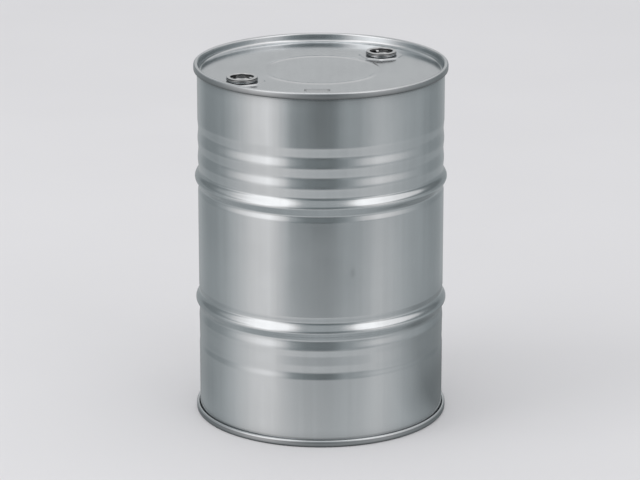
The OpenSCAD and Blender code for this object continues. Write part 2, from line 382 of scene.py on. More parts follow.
HEAD_MID_Z = HEAD_Z - SHEET / 2
PLANE_R = CHUCK_R - HEAD_CORNER - SHEET / 2
CHUCK_ROW_EDGE = 0.3 * MM


def head_rim_path():
    """From the edge of the flat plate up the chuck wall and through the seam."""
    bend = HEAD_CORNER + SHEET / 2
    corner = arc(PLANE_R, HEAD_MID_Z + bend, bend, -90, 0, 12)
    low, high = corner[-1][1] + CHUCK_ROW_EDGE, DRUM_H - CREST_DEPTH - CHUCK_ROW_EDGE
    return corner + [(CHUCK_R, z) for z in np.linspace(low, high, 5)] + head_seam()


def rounded_box_distance(x, y, half_x, half_y, corner):
    """Distance outside a rectangle with round corners, negative inside."""
    dx, dy = np.abs(x) - half_x + corner, np.abs(y) - half_y + corner
    outside = np.hypot(np.maximum(dx, 0), np.maximum(dy, 0))
    return outside + np.minimum(np.maximum(dx, dy), 0) - corner


def smooth_step(x):
    """Goes from 0 to 1 with level ends while x does."""
    x = np.clip(x, 0, 1)
    return x * x * (3 - 2 * x)


# The plate's soft unevenness, as (mm up or down, waves along X and along Y, phase). It fades out
# towards the plate's edge and the closures.
PLATE_WAVES = [(0.16, 13, 5, 0.4), (0.12, -17, 9, 1.9)]
PLATE_WAVES_FADE = 30 * MM
CLOSURE_CALM_R = 60 * MM


def plate_height(x, y, closures, with_panel):
    """Height of the pressed plate's round bead, panel and slight unevenness above its plane."""
    r = np.hypot(x, y)
    bead = np.where(
        np.abs(r - BEAD_R) < BEAD_W / 2, np.cos((r - BEAD_R) / BEAD_W * 2 * math.pi) + 1, 0
    )
    height = bead / 2 * BEAD_H
    if with_panel:
        half_x, half_y = PANEL_SIZE[0] / 2, PANEL_SIZE[1] / 2
        edge = rounded_box_distance(x - PANEL_AT[0], y - PANEL_AT[1], half_x, half_y, PANEL_CORNER)
        height = height + PANEL_H * smooth_step(-edge / PANEL_EDGE)
    calm = smooth_step((PLANE_R - r) / PLATE_WAVES_FADE)
    for cx, cy in closures:
        calm = calm * smooth_step((np.hypot(x - cx, y - cy) - CLOSURE_CALM_R) / PLATE_WAVES_FADE)
    uneven = sum(size * np.sin(a * x + b * y + phase) for size, a, b, phase in PLATE_WAVES)
    return height + calm * uneven * MM


# The plate's points: an outer edge, a hole round each closure, rings between them that are close
# together on the bead, and a fine grid on the panel
RIM_COLUMNS = 360
RING_R = 58 * MM
RING_COUNT = 96
PLATE_RADII = np.arange(12, 276, 9.3) * MM
PLATE_STEP = 9 * MM
PLATE_TWIST = 50
BEAD_RINGS = 13
BEAD_COLUMNS = 240
PANEL_STEP = 0.8 * MM
POINT_MARGIN = 2 * MM
HOLE_SHARE = 0.999


def circle(centre, radius, angles):
    """Points (x, y) of a circle at the given angles."""
    return [(centre[0] + radius * math.cos(a), centre[1] + radius * math.sin(a)) for a in angles]


def plate_points(with_panel):
    """Points spread over the whole plate, before those at its holes and edge are left out."""
    points = [(0.0, 0.0)]
    for r in [*PLATE_RADII, *(BEAD_R + np.linspace(-0.5, 0.5, BEAD_RINGS) * BEAD_W)]:
        on_bead = abs(r - BEAD_R) <= BEAD_W / 2 + 1e-6
        if not on_bead and abs(r - BEAD_R) < BEAD_W:
            continue
        count = BEAD_COLUMNS if on_bead else max(12, int(2 * math.pi * r / PLATE_STEP))
        points += circle((0, 0), r, even_angles(count) + r * PLATE_TWIST)
    if with_panel:
        px, py = PANEL_AT
        half_x, half_y = (size / 2 + POINT_MARGIN for size in PANEL_SIZE)
        points = [p for p in points if abs(p[0] - px) > half_x or abs(p[1] - py) > half_y]
        for x in np.arange(-half_x, half_x + 0.1 * MM, PANEL_STEP):
            rows = np.arange(-half_y, half_y + 0.1 * MM, PANEL_STEP)
            points += [(px + x, py + y) for y in rows]
    return points


def plate(closures, with_panel):
    """Vertices and triangles of the flat part of a head, with a round hole at each closure."""
    points, edges = [], []
    rims = [((0, 0), PLANE_R, RIM_COLUMNS)] + [(at, RING_R, RING_COUNT) for at in closures]
    for centre, radius, count in rims:
        start = len(points)
        points += circle(centre, radius, even_angles(count))
        edges += [(start + (k - 1) % count, start + k) for k in range(count)]
    for x, y in plate_points(with_panel):
        gaps = [math.hypot(x - cx, y - cy) - RING_R for cx, cy in closures]
        if min(gaps + [PLANE_R - math.hypot(x, y)]) > POINT_MARGIN:
            points.append((x, y))
    flat, _, tris, _, _, _ = delaunay_2d_cdt([Vector(p) for p in points], edges, [], 0, 1e-7)
    x = np.array([p.x for p in flat])
    y = np.array([p.y for p in flat])
    kept = []  # all triangles but those in the holes
    for tri in tris:
        mid_x, mid_y = x[list(tri)].mean(), y[list(tri)].mean()
        if all(math.hypot(mid_x - cx, mid_y - cy) > RING_R * HOLE_SHARE for cx, cy in closures):
            kept.append(tuple(tri))
    z = HEAD_MID_Z + plate_height(x, y, closures, with_panel)
    return np.stack([x, y, z], axis=1), kept


HALF_SIDE = math.pi / 8


def octagon_radius(angle, flats, corner):
    """Radius of an octagon with its corners on the axes and round corners, in a direction."""
    local = (angle % (2 * HALF_SIDE)) - HALF_SIDE
    half = flats / 2
    straight = half / np.cos(local)
    reach = (half - corner) * math.tan(HALF_SIDE)
    centre = math.hypot(half - corner, reach)
    off = np.abs(local) - math.atan2(reach, half - corner)
    round_r = centre * np.cos(off)
    round_r = round_r + np.sqrt(np.maximum(corner**2 - (centre * np.sin(off)) ** 2, 0))
    return np.where(half * np.tan(np.abs(local)) > reach, round_r, straight)


def stacked(rings, centre, closed=False):
    """Vertices and quads of rings of (radii, height above the head) about a closure's axis."""
    verts = [
        (centre[0] + r * math.cos(a), centre[1] + r * math.sin(a), HEAD_Z + z)
        for radii, z in rings
        for r, a in zip(radii, even_angles(RING_COUNT))
    ]
    return np.array(verts), quads(len(rings), RING_COUNT, closed, True)


# A pressed slope's height lost by the share of its width, level at both ends
SLOPE = [(0, 0), (0.1, 0.02), (0.22, 0.11), (0.5, 0.5), (0.78, 0.89), (0.9, 0.98), (1, 1)]
PAD_BEND = 0.9 * MM
PAD_CORNERS = (7 * MM, 10 * MM)
PAD_INNER = 3 * MM


def closure_pressing(centre):
    """The raised octagon round a closure and its sheet collar, on the head's middle surface."""
    angles = even_angles(RING_COUNT)
    collar_r = COLLAR_SHEET_R - SHEET / 2
    level = PAD_H - SHEET / 2
    bend = arc(collar_r + PAD_BEND, level + PAD_BEND, PAD_BEND, 180, 270, 5)
    rings = [(np.full(RING_COUNT, r), z) for r, z in [(collar_r, SHEET_COLLAR_TOP)] + bend]
    top = octagon_radius(angles, PAD_AF - SHEET, PAD_CORNERS[0])
    foot = octagon_radius(angles, PAD_AF + 2 * PAD_LEAN + SHEET / 2, PAD_CORNERS[1])
    inner = np.full(RING_COUNT, collar_r + PAD_INNER)
    rings += [(inner + (top - inner) * t, level) for t in (0.0, 0.35, 0.7)]
    rings += [(top + (foot - top) * t, level - PAD_H * lost) for t, lost in SLOPE]
    rings += [(foot + (RING_R - foot) * t, -SHEET / 2) for t in (0.3, 0.65, 1.0)]
    return stacked(rings, centre)


def head(name, node, closures, with_panel, upside_down, material):
    """A pressed head from its plate to its curl in the seam, turned over for the bottom."""
    parts = [plate(closures, with_panel), lathe(head_rim_path(), even_angles(RIM_COLUMNS))]
    parts += [closure_pressing(at) for at in closures]
    verts, faces = joined(*parts)
    if upside_down:
        verts[:, 2] = DRUM_H - verts[:, 2]
    piece = mesh_piece(name, verts, faces, material, smooth_angle=50)
    thicken(piece)
    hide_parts(node)
    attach(piece, "drum")


# ---- the closures ----

THREAD_COLUMNS = 160
THREAD_ROW_STEP = 0.27 * MM


def thread_offset(angle, z):
    """The thread's height over its pitch line: a right-hand helix with slightly flat crests."""
    phase = (z / THREAD_PITCH - angle / (2 * math.pi)) % 1
    ramp = 1 - np.abs(phase - 0.5) * 4
    return THREAD_DEPTH * np.clip(ramp * 1.15, -1, 1)


def threaded_lathe(plain, threaded, centre, side):
    """A closed turned piece: a plain path, then one that follows the thread on one side."""
    angles = even_angles(THREAD_COLUMNS)
    path = plain + threaded
    verts, faces = lathe(path, angles, closed=True)
    z = verts[:, 2]
    angle = np.repeat(angles, len(path))
    marks = np.tile([0.0] * len(plain) + [1.0] * len(threaded), THREAD_COLUMNS)
    r = np.hypot(verts[:, 0], verts[:, 1])
    shaped = r + marks * (thread_offset(angle, z) + side)
    grow = np.where(r > 1e-6, shaped / np.maximum(r, 1e-6), 1)
    verts[:, 0] = verts[:, 0] * grow + centre[0]
    verts[:, 1] = verts[:, 1] * grow + centre[1]
    verts[:, 2] = z + HEAD_Z
    return verts, faces


def octagon_base(centre):
    """The flange's octagonal foot, under the raised part of the head."""
    outer = octagon_radius(even_angles(RING_COUNT), BASE_AF, BASE_CORNER)
    bore = np.full(RING_COUNT, NECK_R - 0.5 * MM)
    rings = [
        (bore, FLANGE_BOTTOM),
        (outer - BASE_BEVEL, FLANGE_BOTTOM),
        (outer, FLANGE_BOTTOM + BASE_BEVEL),
        (outer, BASE_TOP - BASE_BEVEL),
        (outer - BASE_BEVEL, BASE_TOP),
        (bore, BASE_TOP),
    ]
    return stacked(rings, centre, closed=True)


# The flange's bead: room beside the collar, the bends of its hook, its foot and its shoulder, and
# how far down the bore the thread begins
HOOK_ROOM = 0.15 * MM
HOOK_BEND, BEAD_FOOT_BEND, BEAD_BEND = 0.6 * MM, 1.2 * MM, 1.8 * MM
BORE_LEAD = 1.2 * MM


def flange(side, centre, material):
    """The threaded insert, its neck closed over the head's collar in a round bead."""
    hook_r = COLLAR_SHEET_R + HOOK_ROOM
    hook = BEAD_UNDER - BEAD_HOOK
    neck = [(NECK_R, FLANGE_BOTTOM), (NECK_R, BEAD_UNDER), (hook_r, BEAD_UNDER)]
    neck += arc(hook_r + HOOK_BEND, hook + HOOK_BEND, HOOK_BEND, 180, 270, 3)
    neck += arc(BEAD_OUT_R - BEAD_FOOT_BEND, hook + BEAD_FOOT_BEND, BEAD_FOOT_BEND, -90, 0, 5)
    neck += arc(BEAD_OUT_R - BEAD_BEND, COLLAR_H - BEAD_BEND, BEAD_BEND, 0, 90, 7)
    neck += [(THREAD_R + 1.1 * MM, COLLAR_H), (THREAD_R + 0.8 * MM, COLLAR_H - 0.2 * MM)]
    rows = np.arange(COLLAR_H - BORE_LEAD, FLANGE_BOTTOM, -THREAD_ROW_STEP)
    bore = [(THREAD_R + THREAD_CLEAR / 2, z) for z in [*rows, FLANGE_BOTTOM]]
    turned = threaded_lathe(neck, bore, centre, THREAD_CLEAR / 2)
    verts, faces = joined(turned, octagon_base(centre))
    piece = mesh_piece(side + "_flange_body", verts, faces, material)
    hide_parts(side + "_flange")
    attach(piece, "drum")


LUG_LENGTH = 9 * MM
LUG_H = 8.5 * MM
LUG_HALF = 3.5 * MM
LUG_SLOPE = 2 * MM
LUG_BEVEL = 0.9 * MM
LUG_IN_WALL, LUG_IN_FLOOR = 0.8 * MM, 0.5 * MM


def wrench_lug(centre, angle):
    """One lug in a plug's cup, as a box with a sloped inner top edge and softened edges."""
    inner, outer = CUP_R - LUG_LENGTH, CUP_R + LUG_IN_WALL
    foot, top = CUP_FLOOR - LUG_IN_FLOOR, CUP_FLOOR + LUG_H
    outline = [(inner, foot), (outer, foot), (outer, top)]
    outline += [(inner + LUG_SLOPE, top), (inner, top - LUG_SLOPE)]
    work = bmesh.new()
    near = [work.verts.new((r, -LUG_HALF, z)) for r, z in outline]
    far = [work.verts.new((r, LUG_HALF, z)) for r, z in outline]
    work.faces.new(near)
    work.faces.new(reversed(far))
    for k in range(len(outline)):
        work.faces.new((near[k - 1], far[k - 1], far[k], near[k]))
    bmesh.ops.bevel(
        work, geom=list(work.edges), offset=LUG_BEVEL, segments=3, affect="EDGES", profile=0.5
    )
    turn = np.array([[math.cos(angle), -math.sin(angle)], [math.sin(angle), math.cos(angle)]])
    work.verts.index_update()
    verts = np.array([v.co[:] for v in work.verts])
    verts[:, :2] = verts[:, :2] @ turn.T + np.array(centre)
    verts[:, 2] += HEAD_Z
    faces = [tuple(v.index for v in face.verts) for face in work.faces]
    work.free()
    return verts, faces


# The plug's bends, from under its rim to the cup's floor, and the raised middle of that floor
RIM_BEND, RIM_TOP_BEND, CUP_LIP_BEND, CUP_BEND = 0.6 * MM, 0.9 * MM, 1.5 * MM, 2 * MM
BOSS_FOOT_R, BOSS_R, BOSS_H = 14 * MM, 12.6 * MM, 0.5 * MM
# Where its thread begins and ends: above its bottom and below its rim
PLUG_LEAD = 1.2 * MM
PLUG_RELIEF = 0.6 * MM


def plug(side, centre, lug_angle, material):
    """The screw plug: a threaded skirt, a rim and a cup with two wrench lugs."""
    plain = [(THREAD_R - PLUG_RELIEF, COLLAR_H), (THREAD_R - PLUG_RELIEF, RIM_Z)]
    plain += arc(RIM_R - RIM_BEND, RIM_Z + RIM_BEND, RIM_BEND, -90, 0, 3)
    plain += arc(RIM_R - RIM_TOP_BEND, PLUG_TOP - RIM_TOP_BEND, RIM_TOP_BEND, 0, 90, 5)
    plain += arc(CUP_R + CUP_LIP_BEND, PLUG_TOP - CUP_LIP_BEND, CUP_LIP_BEND, 90, 180, 6)
    plain += arc(CUP_R - CUP_BEND, CUP_FLOOR + CUP_BEND, CUP_BEND, 0, -90, 6)
    plain += [(BOSS_FOOT_R, CUP_FLOOR), (BOSS_R, CUP_FLOOR + BOSS_H), (0, CUP_FLOOR + BOSS_H)]
    plain += [(0, PLUG_BOTTOM), (THREAD_R - 1.6 * MM, PLUG_BOTTOM)]
    plain += [(THREAD_R - 0.9 * MM, PLUG_BOTTOM + 0.4 * MM)]
    rows = np.arange(PLUG_BOTTOM + PLUG_LEAD, COLLAR_H - PLUG_RELIEF, THREAD_ROW_STEP)
    skirt = [(THREAD_R - THREAD_CLEAR / 2, z) for z in rows]
    turned = threaded_lathe(plain, skirt, centre, -THREAD_CLEAR / 2)
    lugs = [wrench_lug(centre, lug_angle + k * math.pi) for k in (0, 1)]
    verts, faces = joined(turned, *lugs)
    piece = mesh_piece(side + "_plug_body", verts, faces, material)
    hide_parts(side + "_plug")
    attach(piece, side + "_bung")


SEAL_R = (THREAD_R + 0.37 * MM, THREAD_R + 5.37 * MM)
SEAL_BULGE = 0.45 * MM
SEAL_ROUND = 0.75 * MM


def plug_gasket(side, centre, material):
    """The rubber ring under a plug's rim, pressed out a little round its edge."""
    inner, outer = SEAL_R
    edge = outer - SEAL_BULGE
    path = [(inner, COLLAR_H), (edge, COLLAR_H)]
    path += arc(edge, (COLLAR_H + RIM_Z) / 2, SEAL_ROUND, -90, 90, 8)[1:-1]
    path += [(edge, RIM_Z), (inner, RIM_Z)]
    verts, faces = lathe([(min(r, outer), z) for r, z in path], even_angles(120), closed=True)
    verts += np.array([centre[0], centre[1], HEAD_Z])
    piece = mesh_piece(side + "_plug_seal", verts, faces, material)
    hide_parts(side + "_plug_gasket")
    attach(piece, side + "_gasket")


# ---- materials ----


class Nodes:
    """A short way to write a node tree: each call adds a node and sets or links its inputs."""

    def __init__(self, tree):
        self.tree = tree
        tree.nodes.clear()

    def add(self, kind, inputs=(), **settings):
        node = self.tree.nodes.new("ShaderNode" + kind)
        for key, value in settings.items():
            setattr(node, key, value)
        for key, value in dict(inputs).items():
            if isinstance(value, bpy.types.NodeSocket):
                self.tree.links.new(value, node.inputs[key])
            else:
                node.inputs[key].default_value = value
        return node

    def math(self, operation, *values):
        return self.add("Math", dict(enumerate(values)), operation=operation).outputs[0]

    def length(self, x, y):
        squares = (self.math("POWER", axis, 2.0) for axis in (x, y))
        return self.math("SQRT", self.math("ADD", *squares))

    def ramp(self, value, stops, interpolation="EASE"):
        node = self.add("ValToRGB", {"Fac": value})
        ramp = node.color_ramp
        ramp.interpolation = interpolation
        while len(ramp.elements) > 1:
            ramp.elements.remove(ramp.elements[-1])
        for k, (position, color) in enumerate(stops):
            stop = ramp.elements[0] if k == 0 else ramp.elements.new(position)
            stop.position = position
            stop.color = color if isinstance(color, tuple) else (color, color, color, 1)
        return node.outputs[0]

    def noise(self, vector, scale, detail=3, roughness=0.5):
        inputs = {"Vector": vector, "Scale": scale, "Detail": detail, "Roughness": roughness}
        return self.add("TexNoise", inputs).outputs["Fac"]

    def stretched(self, vector, x, y, z):
        return self.add("Mapping", {"Vector": vector, "Scale": (x, y, z)}).outputs[0]


def new_material(name):
    """A material and the short way to write its nodes."""
    material = bpy.data.materials.new(name)
    material.use_nodes = True
    return material, Nodes(material.node_tree)


def times(tone, factor=1.0):
    """A colour with its alpha, from a tone and a brightness."""
    return tuple(c * factor for c in tone) + (1,)


def around_drum(n):
    """Coordinates that run round the drum and up it, so streaks follow the rolled sheet."""
    place = n.add("TexCoord").outputs["Object"]
    x, y, height = n.add("SeparateXYZ", {0: place}).outputs
    round_way = n.math("MULTIPLY", n.math("ARCTAN2", y, x), BODY_R)
    return place, n.add("CombineXYZ", {0: round_way, 1: n.length(x, y), 2: height}).outputs[0]


# Painted shade along the seams: the metal's brightness by depth from the nearer end, in shares of
# the depth below, darker where shade falls: on the body beyond the seams, and on the outer face of
# the top and the bottom seam
SEAM_SHADE_DEPTH = 40 * MM
BODY_SEAM_SHADE = [(0.40, 0.40), (0.45, 0.55), (0.56, 0.88), (0.75, 0.96), (1.0, 1.0)]
TOP_SEAM_SHADE = [(0.04, 1.0), (0.08, 0.70), (0.24, 0.60), (0.33, 0.40), (0.40, 0.30)]
BOTTOM_SEAM_SHADE = [
    (0.01, 0.35), (0.07, 0.62), (0.11, 0.80), (0.22, 0.74), (0.28, 0.50), (0.32, 0.95), (0.40, 1.0),
]
# The painted shade on a seam's outer face sets in between these radii, where the face is also made
# rougher
SEAM_FACE_R = (BODY_R + 3.5 * MM, BODY_R + 5.5 * MM)
SEAM_FACE_ROUGH = 0.16


def near_end(n, unrolled):
    """Distance from the nearer end of the drum, and the radius there."""
    _, radius, height = n.add("SeparateXYZ", {0: unrolled}).outputs
    return n.math("MINIMUM", height, n.math("SUBTRACT", DRUM_H, height)), radius


# Painted shade on the raised panel: how much darker it is in the middle and at its ends, how far in
# from its edge the ends set in, and how soft its outline is. Only the top head, above these
# heights, has it.
PANEL_SHADE = (0.22, 0.45)
PANEL_ENDS = (8 * MM, 3 * MM)
PANEL_SOFT = 1.5 * MM
PANEL_ABOVE = (HEAD_Z - 20 * MM, HEAD_Z - 10 * MM)


def painted_panel_shade(n, place):
    """Painted shade: the blank raised panel is darker than the head round it, most of all at its
    ends.
    """
    half_x, half_y = PANEL_SIZE[0] / 2, PANEL_SIZE[1] / 2
    axes = n.add("SeparateXYZ", {0: place}).outputs
    x, y = (n.math("ABSOLUTE", n.math("SUBTRACT", axes[k], PANEL_AT[k])) for k in (0, 1))
    inside = n.math(
        "MULTIPLY",
        blend(n, x, half_x, half_x + PANEL_SOFT, 1.0, 0.0),
        blend(n, y, half_y, half_y + PANEL_SOFT, 1.0, 0.0),
    )
    at_top = blend(n, axes[2], *PANEL_ABOVE, 0.0, 1.0)
    depth = blend(n, x, half_x - PANEL_ENDS[0], half_x - PANEL_ENDS[1], *PANEL_SHADE)
    return n.math("SUBTRACT", 1.0, n.math("MULTIPLY", n.math("MULTIPLY", inside, at_top), depth))


def multiplied(n, color, factor):
    """A colour times a brightness."""
    inputs = {0: 1.0, 6: color, 7: factor}
    return n.add("Mix", inputs, data_type="RGBA", blend_type="MULTIPLY").outputs[2]


# How far a face looks up where the painted shade of upright faces begins to thin out, and where
# there is none
UPRIGHT_SHADE_SLOPES = (0.15, 0.75)


def upright_face_shade(n, upright_level):
    """Painted shade: upright faces are darker than level ones."""
    up = n.add("SeparateXYZ", {0: n.add("NewGeometry").outputs["Normal"]}).outputs[2]
    return blend(n, up, *UPRIGHT_SHADE_SLOPES, upright_level, 1.0)


# The smudge on the wall: its middle, how much its height is squeezed where its reach is measured,
# how ragged it is, and its brightness by the distance from its middle, in shares of 1 / MARK_SCALE
MARK_AT = (0.072, -0.278, 0.417)
MARK_SQUEEZE = 0.5
MARK_RAGGED = 8 * MM
MARK_SCALE = 60.0
MARK_EDGE = [(0.25, 0.88), (0.85, 1.0)]


def mark_shade(n, place):
    """One faint dark smudge with a ragged edge."""
    tall = n.stretched(place, 1.0, 1.0, MARK_SQUEEZE)
    middle = (MARK_AT[0], MARK_AT[1], MARK_AT[2] * MARK_SQUEEZE)
    reach = n.add("VectorMath", {0: tall, 1: middle}, operation="DISTANCE").outputs["Value"]
    ragged = n.math("ADD", reach, n.math("MULTIPLY", n.noise(place, 160.0, 3), MARK_RAGGED))
    return n.ramp(n.math("MULTIPLY", ragged, MARK_SCALE), MARK_EDGE)


# The metal's pattern: noise scales, how far a light and a dark patch stray from its tone, and how
# much the clouds and the grain add to its roughness, with their mean to take off
CLOUD_SCALE = 7.0
GRAIN_SCALE = 900.0
STREAK_SCALE = (55.0, 8.0, 1.6)
DARK_PATCH, LIGHT_PATCH = 0.955, 1.035
CLOUD_ROUGH, GRAIN_ROUGH, MEAN_ROUGH = 0.10, 0.06, 0.08


def steel(name, tone, roughness, rolled=False, mark=False, seam_shade=None, panel_shade=False, upright_shade=None):
    """Bare satin zinc-coated sheet: faint cloudiness, fine grain and rolling streaks."""
    material, n = new_material(name)
    place, unrolled = around_drum(n)
    cloud = n.noise(place, CLOUD_SCALE, 4)
    grain = n.noise(place, GRAIN_SCALE, 2)
    streak = n.noise(n.stretched(unrolled if rolled else place, *STREAK_SCALE), 1.0, 4, 0.55)
    mixed = n.math("ADD", n.math("MULTIPLY", cloud, 0.6), n.math("MULTIPLY", streak, 0.4))
    color = n.ramp(mixed, [(0.32, times(tone, DARK_PATCH)), (0.68, times(tone, LIGHT_PATCH))])
    if mark:
        color = multiplied(n, color, mark_shade(n, place))
    # Painted shade on the raised panel
    if panel_shade:
        color = multiplied(n, color, painted_panel_shade(n, place))
    # Painted shade on upright faces
    if upright_shade:
        color = multiplied(n, color, upright_face_shade(n, upright_shade))
    rough = n.math("MULTIPLY", cloud, CLOUD_ROUGH)
    rough = n.math("ADD", rough, n.math("MULTIPLY", grain, GRAIN_ROUGH))
    rough = n.math("ADD", rough, roughness - MEAN_ROUGH)
    # Painted shade near the ends; on a head only on the seam's outer face
    if seam_shade:
        depth, radius = near_end(n, unrolled)
        shade = n.ramp(n.math("DIVIDE", depth, SEAM_SHADE_DEPTH), seam_shade, "LINEAR")
        if not rolled:
            limits = {"Value": radius, "From Min": SEAM_FACE_R[0], "From Max": SEAM_FACE_R[1]}
            outside = n.add("MapRange", limits).outputs["Result"]
            shade = n.add("Mix", {0: outside, 2: 1.0, 3: shade}, data_type="FLOAT").outputs[0]
            rough = n.math("ADD", rough, n.math("MULTIPLY", outside, SEAM_FACE_ROUGH))
        color = multiplied(n, color, shade)
    height = n.math("ADD", n.math("MULTIPLY", grain, 0.25), n.math("MULTIPLY", streak, 1.0))
    bump = n.add("Bump", {"Strength": 0.10, "Distance": 0.6 * MM, "Height": height}).outputs[0]
    shader = n.add(
        "BsdfPrincipled", {"Base Color": color, "Metallic": 1.0, "Roughness": rough, "Normal": bump}
    )
    n.add("OutputMaterial", {"Surface": shader.outputs[0]})
    return material


def rubber(name, tone):
    """Dull sealing rubber with a fine grain and a little dust."""
    material, n = new_material(name)
    place = n.add("TexCoord").outputs["Object"]
    grain = n.noise(place, 1400.0, 3)
    dust = n.ramp(n.noise(place, 90.0, 4), [(0.4, times(tone)), (0.75, times(tone, 2.2))])
    bump = n.add("Bump", {"Strength": 0.25, "Distance": 0.2 * MM, "Height": grain}).outputs[0]
    rough = n.math("ADD", n.math("MULTIPLY", grain, 0.2), 0.55)
    shader = n.add("BsdfPrincipled", {"Base Color": dust, "Roughness": rough, "Normal": bump})
    n.add("OutputMaterial", {"Surface": shader.outputs[0]})
    return material


# ---- the studio ----

FLOOR_TONE = (0.735, 0.73, 0.74)

# What bare metal mirrors, by direction in degrees from the front (+ is to the right): the floor
# at the drum's foot, near it, farther out and far away, the horizon, and the soft boxes and flags
# low and high above it
FOOT_GLOW = [
    (-180, 0.38), (-150, 0.36), (-133, 0.30), (-117, 0.33), (-100, 0.43), (-82, 0.56), (-66, 0.68),
    (-51, 0.73), (-38, 0.64), (-26, 0.56), (-13, 0.50), (0, 0.47), (13, 0.46), (26, 0.48),
    (40, 0.52), (54, 0.56), (69, 0.51), (86, 0.43), (103, 0.39), (120, 0.35), (150, 0.37),
    (180, 0.38),
]
NEAR_GLOW = [
    (-180, 0.38), (-150, 0.38), (-133, 0.32), (-117, 0.34), (-100, 0.43), (-82, 0.56), (-66, 0.68),
    (-51, 0.73), (-38, 0.68), (-26, 0.65), (-13, 0.62), (0, 0.60), (13, 0.59), (26, 0.59),
    (40, 0.59), (54, 0.58), (69, 0.51), (86, 0.43), (103, 0.39), (120, 0.35), (150, 0.37),
    (180, 0.38),
]
MIDDLE_GLOW = [
    (-180, 0.42), (-150, 0.40), (-133, 0.36), (-117, 0.38), (-100, 0.46), (-82, 0.57), (-66, 0.68),
    (-51, 0.73), (-38, 0.57), (-26, 0.38), (-13, 0.34), (0, 0.29), (13, 0.30), (26, 0.33),
    (40, 0.47), (54, 0.66), (69, 0.58), (86, 0.46), (103, 0.40), (120, 0.37), (136, 0.34),
    (150, 0.38), (180, 0.42),
]
FAR_GLOW = [
    (-180, 0.45), (-150, 0.38), (-131, 0.26), (-101, 0.31), (-82, 0.49), (-66, 0.71), (-51, 0.82),
    (-38, 0.58), (-26, 0.25), (-13, 0.20), (0, 0.12), (13, 0.17), (22, 0.36), (30, 0.33),
    (38, 0.32), (54, 0.46), (69, 0.44), (86, 0.38), (103, 0.37), (120, 0.30), (136, 0.29),
    (150, 0.36), (180, 0.45),
]
HORIZON_GLOW = [
    (-180, 0.40), (-130, 0.30), (-117, 0.26), (-100, 0.40), (-86, 0.62), (-75, 0.85), (-50, 1.20),
    (-38, 0.90), (-27, 0.40), (-13, 0.22), (13, 0.20), (27, 0.35), (40, 0.62), (54, 0.84),
    (70, 0.68), (86, 0.50), (103, 0.36), (128, 0.26), (180, 0.40),
]
LOW_GLOW = [
    (-180, 0.52), (-172, 0.51), (-162, 0.17), (-148, 0.17), (-114, 0.22), (-96, 0.33), (-82, 0.52),
    (-70, 0.95), (-59, 1.34), (-48, 1.34), (-38, 1.12), (-28, 0.80), (-19, 0.40), (-9, 0.22),
    (0, 0.17), (10, 0.18), (19, 0.22), (29, 0.31), (39, 0.60), (49, 0.73), (60, 0.70), (71, 0.47),
    (83, 0.32), (105, 0.22), (142, 0.15), (160, 0.15), (172, 0.51), (180, 0.52),
]
HIGH_GLOW = [
    (-180, 0.66), (-155, 0.62), (-132, 0.40), (-100, 0.45), (-85, 0.85), (-75, 1.15), (-60, 1.28),
    (-35, 1.28), (-28, 0.80), (-20, 0.42), (0, 0.38), (20, 0.38), (30, 0.60), (38, 1.18),
    (50, 1.30), (60, 1.22), (72, 1.05), (86, 0.88), (100, 0.75), (118, 0.70), (132, 0.52),
    (155, 0.66), (180, 0.66),
]
# Straight down and straight up the world is even. From one to the other, each glow takes over
# between two elevations in degrees.
STEEP_GLOW = 0.38
GLOW_BANDS = [
    (-48, -30, FOOT_GLOW),
    (-26, -21.5, NEAR_GLOW),
    (-20.5, -18, MIDDLE_GLOW),
    (-17.6, -16.2, FAR_GLOW),
    (-13, -6, HORIZON_GLOW),
    (4, 9, LOW_GLOW),
    (19, 26, HIGH_GLOW),
]
ZENITH_GLOW = 1.0
ZENITH_BAND = (62, 80)
# A glow is bluish up to the first level and neutral from the second: red and blue to green
COOL_LEVELS = (0.15, 0.75)
COOL_RED = (0.91, 1.03)
COOL_BLUE = (1.035, 1.0)
# Ramps hold levels up to 1, so the tables are divided by this and multiplied back
GLOW_SCALE = 2.0

PLAIN_LIGHT = (0.98, 0.985, 1.0, 1)
PLAIN_LEVEL = 0.92

# The drum's shade on the floor is a card just above it. The shade is deepest beside the drum and
# gets lighter over each band of distances from it, it is darkest all round where the drum stands,
# and SHADE_SIDES multiplies it by the direction from the drum.
SHADE_R = 1.6
SHADE_LIFT = 0.6 * MM
SHADE_TONE = (0.110, 0.120, 0.124, 1)
SHADE_DEPTHS = (0.72, 0.45, 0.0)
SHADE_BANDS = ((0.15, 0.40), (0.60, 0.95))
CONTACT_WIDTH = 0.04
SHADE_SIDES = [
    (-180, 0.60), (-150, 0.50), (-93, 0.20), (-75, 0.0), (55, 0.0), (74, 0.45), (88, 1.0),
    (140, 1.0), (180, 0.60),
]


def by_direction(n, x, y, glow):
    """Brightness by the direction of (x, y) from the front."""
    turn = n.math("ARCTAN2", x, n.math("MULTIPLY", y, -1.0))
    stops = [(0.5 + angle / 360, level / GLOW_SCALE) for angle, level in glow]
    return n.ramp(n.math("ADD", n.math("DIVIDE", turn, 2 * math.pi), 0.5), stops, "LINEAR")


def blend(n, value, start, end, below, above):
    """Goes smoothly from one level to another while a value rises from start to end."""
    inputs = {"Value": value, "From Min": start, "From Max": end}
    share = n.add("MapRange", inputs, interpolation_type="SMOOTHSTEP").outputs["Result"]
    return n.add("Mix", {0: share, 2: below, 3: above}, data_type="FLOAT").outputs[0]


def cool(n, level):
    """The colour of a glow: bluish where it is dim and neutral where it is bright."""
    low, high = (limit / GLOW_SCALE for limit in COOL_LEVELS)
    red = n.math("MULTIPLY", level, blend(n, level, low, high, *COOL_RED))
    blue = n.math("MULTIPLY", level, blend(n, level, low, high, *COOL_BLUE))
    return n.add("CombineColor", {0: red, 1: level, 2: blue}).outputs[0]


